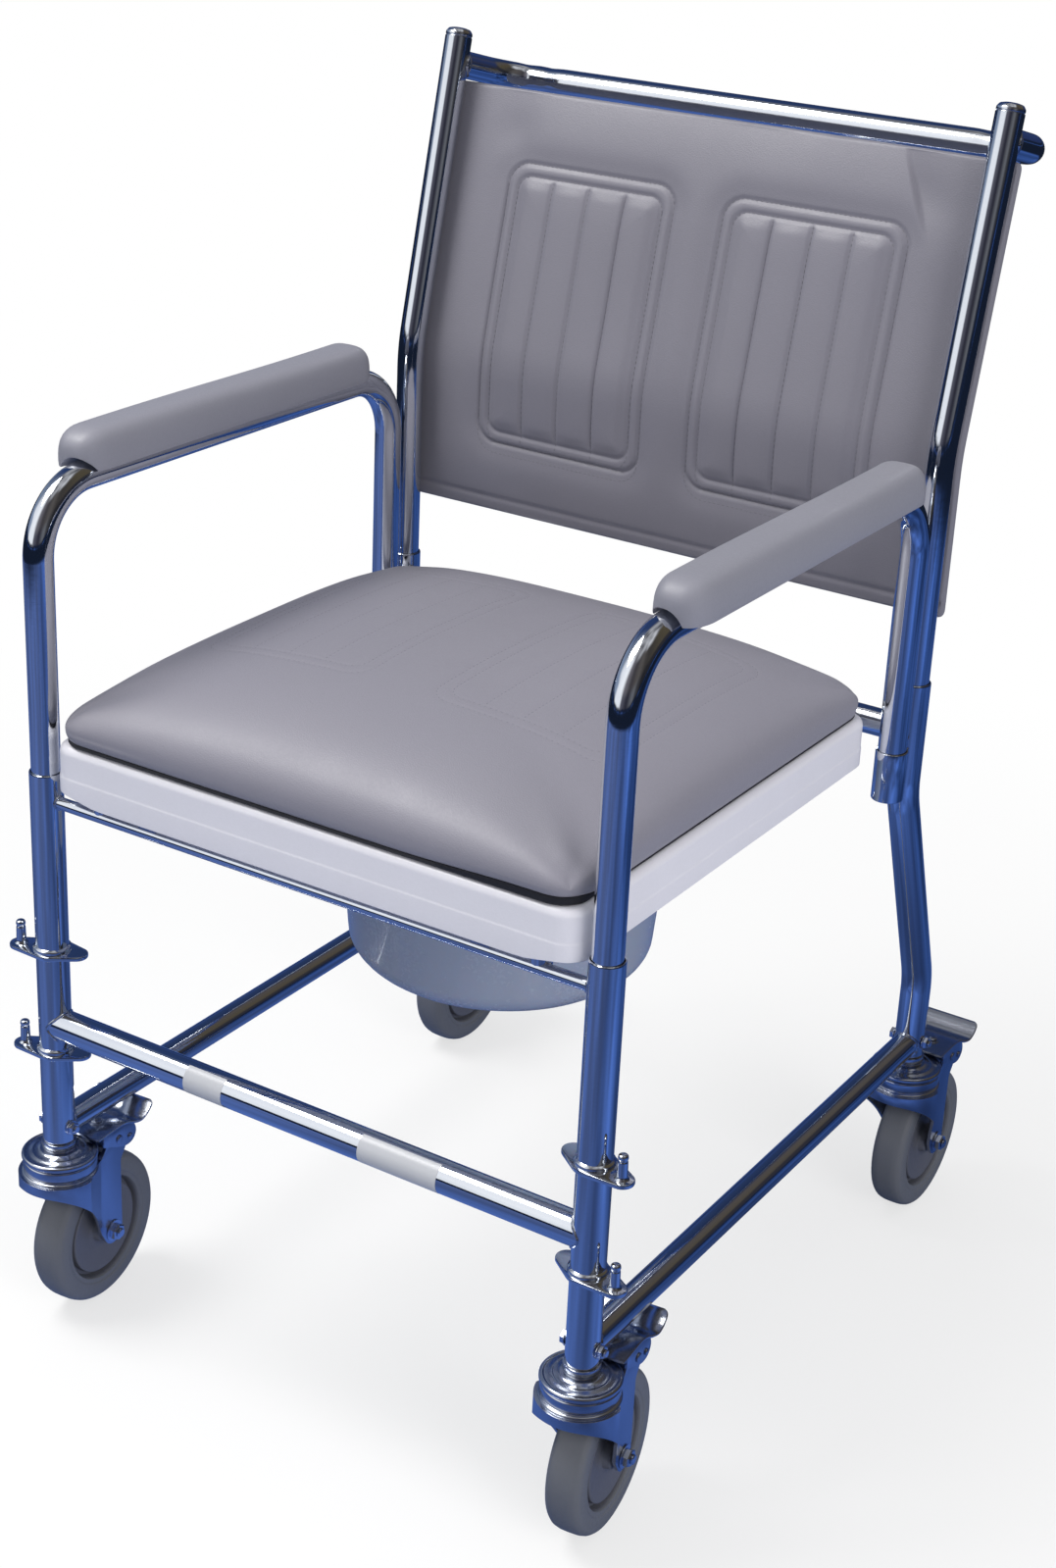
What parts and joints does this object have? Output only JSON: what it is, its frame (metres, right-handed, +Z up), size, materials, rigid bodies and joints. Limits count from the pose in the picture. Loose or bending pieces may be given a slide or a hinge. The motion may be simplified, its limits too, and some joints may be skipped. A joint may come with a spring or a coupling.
{
  "type": "wheeled commode chair",
  "caption": "Wheeled commode chair: tubular frame, lift-off arms and back, padded seat over a moulded seat and sliding pan, swivel casters with brakes.",
  "frame": {"origin": "middle of the chair's footprint, on the floor", "axes": "+Z up, +X towards the right as seen from the front, +Y towards the back"},
  "size_m": [0.5537, 0.6694, 0.9675],
  "materials": {
    "chrome": "bright chrome plate",
    "zinc": "bright zinc plate",
    "vinyl": "soft grey vinyl over foam",
    "arm_foam": "grey moulded skin foam",
    "seat_plastic": "off-white moulded plastic",
    "pan_plastic": "translucent grey-blue plastic",
    "board_black": "black board",
    "tyre_rubber": "dark grey rubber",
    "hub_plastic": "dark grey plastic"
  },
  "bodies": {
    "frame": {"arm_socket_left": "chrome", "arm_socket_right": "chrome", "bottom_rail_left": "chrome", "bottom_rail_right": "chrome", "caster_stem_front_left": "zinc", "caster_stem_front_right": "zinc", "caster_stem_rear_left": "zinc", "caster_stem_rear_right": "zinc", "commode_seat": "seat_plastic", "footrest_bracket_lower_left": "chrome", "footrest_bracket_lower_right": "chrome", "footrest_bracket_upper_left": "chrome", "footrest_bracket_upper_right": "chrome", "front_leg_left": "chrome", "front_leg_right": "chrome", "lower_front_bar": "chrome", "pan_runner_left": "zinc", "pan_runner_right": "zinc", "rear_crossbar": "chrome", "rear_leg_left": "chrome", "rear_leg_right": "chrome", "seat_rail_left": "chrome", "seat_rail_right": "chrome", "stem_bolt_front_left": "zinc", "stem_bolt_front_right": "zinc", "stem_bolt_rear_left": "zinc", "stem_bolt_rear_right": "zinc", "upper_front_rail": "chrome"},
    "back_frame": {"back_upright_left": "chrome", "back_upright_right": "chrome", "push_handle": "chrome", "back_panel": "vinyl"},
    "arm_left": {"arm_tube_left": "chrome", "arm_pad_left": "arm_foam"},
    "arm_right": {"arm_tube_right": "chrome", "arm_pad_right": "arm_foam"},
    "cushion": {"cushion_board": "board_black", "seat_cushion": "vinyl"},
    "pan": {"pan": "pan_plastic"},
    "swivel_front_right": {"fork_front_right": "zinc", "axle_bolt_front_right": "zinc"},
    "wheel_front_right": {"tyre_front_right": "tyre_rubber", "hub_front_right": "hub_plastic"},
    "pedal_front_right": {"brake_pedal_front_right": "zinc"},
    "swivel_front_left": {"fork_front_left": "zinc", "axle_bolt_front_left": "zinc"},
    "wheel_front_left": {"tyre_front_left": "tyre_rubber", "hub_front_left": "hub_plastic"},
    "pedal_front_left": {"brake_pedal_front_left": "zinc"},
    "swivel_rear_right": {"fork_rear_right": "zinc", "axle_bolt_rear_right": "zinc"},
    "wheel_rear_right": {"tyre_rear_right": "tyre_rubber", "hub_rear_right": "hub_plastic"},
    "pedal_rear_right": {"brake_pedal_rear_right": "zinc"},
    "swivel_rear_left": {"fork_rear_left": "zinc", "axle_bolt_rear_left": "zinc"},
    "wheel_rear_left": {"tyre_rear_left": "tyre_rubber", "hub_rear_left": "hub_plastic"},
    "pedal_rear_left": {"brake_pedal_rear_left": "zinc"}
  },
  "joints": [
    {"name": "back_frame_lift", "type": "slide", "parent": "frame", "child": "back_frame", "axis": [0, 0, 1], "range_m": [0, 0.1]},
    {"name": "arm_left_lift", "type": "slide", "parent": "frame", "child": "arm_left", "axis": [0, 0, 1], "range_m": [0, 0.12]},
    {"name": "arm_right_lift", "type": "slide", "parent": "frame", "child": "arm_right", "axis": [0, 0, 1], "range_m": [0, 0.12]},
    {"name": "cushion_lift", "type": "slide", "parent": "frame", "child": "cushion", "axis": [0, 0, 1], "range_m": [0, 0.1]},
    {"name": "pan_slide", "type": "slide", "parent": "frame", "child": "pan", "axis": [0, 1, 0], "range_m": [0, 0.3]},
    {"name": "swivel_front_right_turn", "type": "hinge", "parent": "frame", "child": "swivel_front_right", "pos_m": [0.2425, -0.30175, 0.1435], "axis": [0, 0, 1], "continuous": true},
    {"name": "wheel_front_right_spin", "type": "hinge", "parent": "swivel_front_right", "child": "wheel_front_right", "pos_m": [0.23869, -0.26294, 0.0635], "axis": [0.9952, 0.0976, 0], "continuous": true},
    {"name": "pedal_front_right_press", "type": "hinge", "parent": "swivel_front_right", "child": "pedal_front_right", "pos_m": [0.23801, -0.25597, 0.147], "axis": [0.9952, 0.0976, 0], "range_deg": [-12, 0]},
    {"name": "swivel_front_left_turn", "type": "hinge", "parent": "frame", "child": "swivel_front_left", "pos_m": [-0.2425, -0.30175, 0.1435], "axis": [0, 0, 1], "continuous": true},
    {"name": "wheel_front_left_spin", "type": "hinge", "parent": "swivel_front_left", "child": "wheel_front_left", "pos_m": [-0.24515, -0.26284, 0.0635], "axis": [0.9977, 0.068, 0], "continuous": true},
    {"name": "pedal_front_left_press", "type": "hinge", "parent": "swivel_front_left", "child": "pedal_front_left", "pos_m": [-0.24563, -0.25586, 0.147], "axis": [0.9977, 0.068, 0], "range_deg": [-12, 0]},
    {"name": "swivel_rear_right_turn", "type": "hinge", "parent": "frame", "child": "swivel_rear_right", "pos_m": [0.2425, 0.23225, 0.1435], "axis": [0, 0, 1], "continuous": true},
    {"name": "wheel_rear_right_spin", "type": "hinge", "parent": "swivel_rear_right", "child": "wheel_rear_right", "pos_m": [0.2425, 0.27125, 0.0635], "axis": [1, 0, 0], "continuous": true},
    {"name": "pedal_rear_right_press", "type": "hinge", "parent": "swivel_rear_right", "child": "pedal_rear_right", "pos_m": [0.2425, 0.27825, 0.147], "axis": [1, 0, 0], "range_deg": [-12, 0]},
    {"name": "swivel_rear_left_turn", "type": "hinge", "parent": "frame", "child": "swivel_rear_left", "pos_m": [-0.2425, 0.23225, 0.1435], "axis": [0, 0, 1], "continuous": true},
    {"name": "wheel_rear_left_spin", "type": "hinge", "parent": "swivel_rear_left", "child": "wheel_rear_left", "pos_m": [-0.2425, 0.27125, 0.0635], "axis": [1, 0, 0], "continuous": true},
    {"name": "pedal_rear_left_press", "type": "hinge", "parent": "swivel_rear_left", "child": "pedal_rear_left", "pos_m": [-0.2425, 0.27825, 0.147], "axis": [1, 0, 0], "range_deg": [-12, 0]}
  ]
}
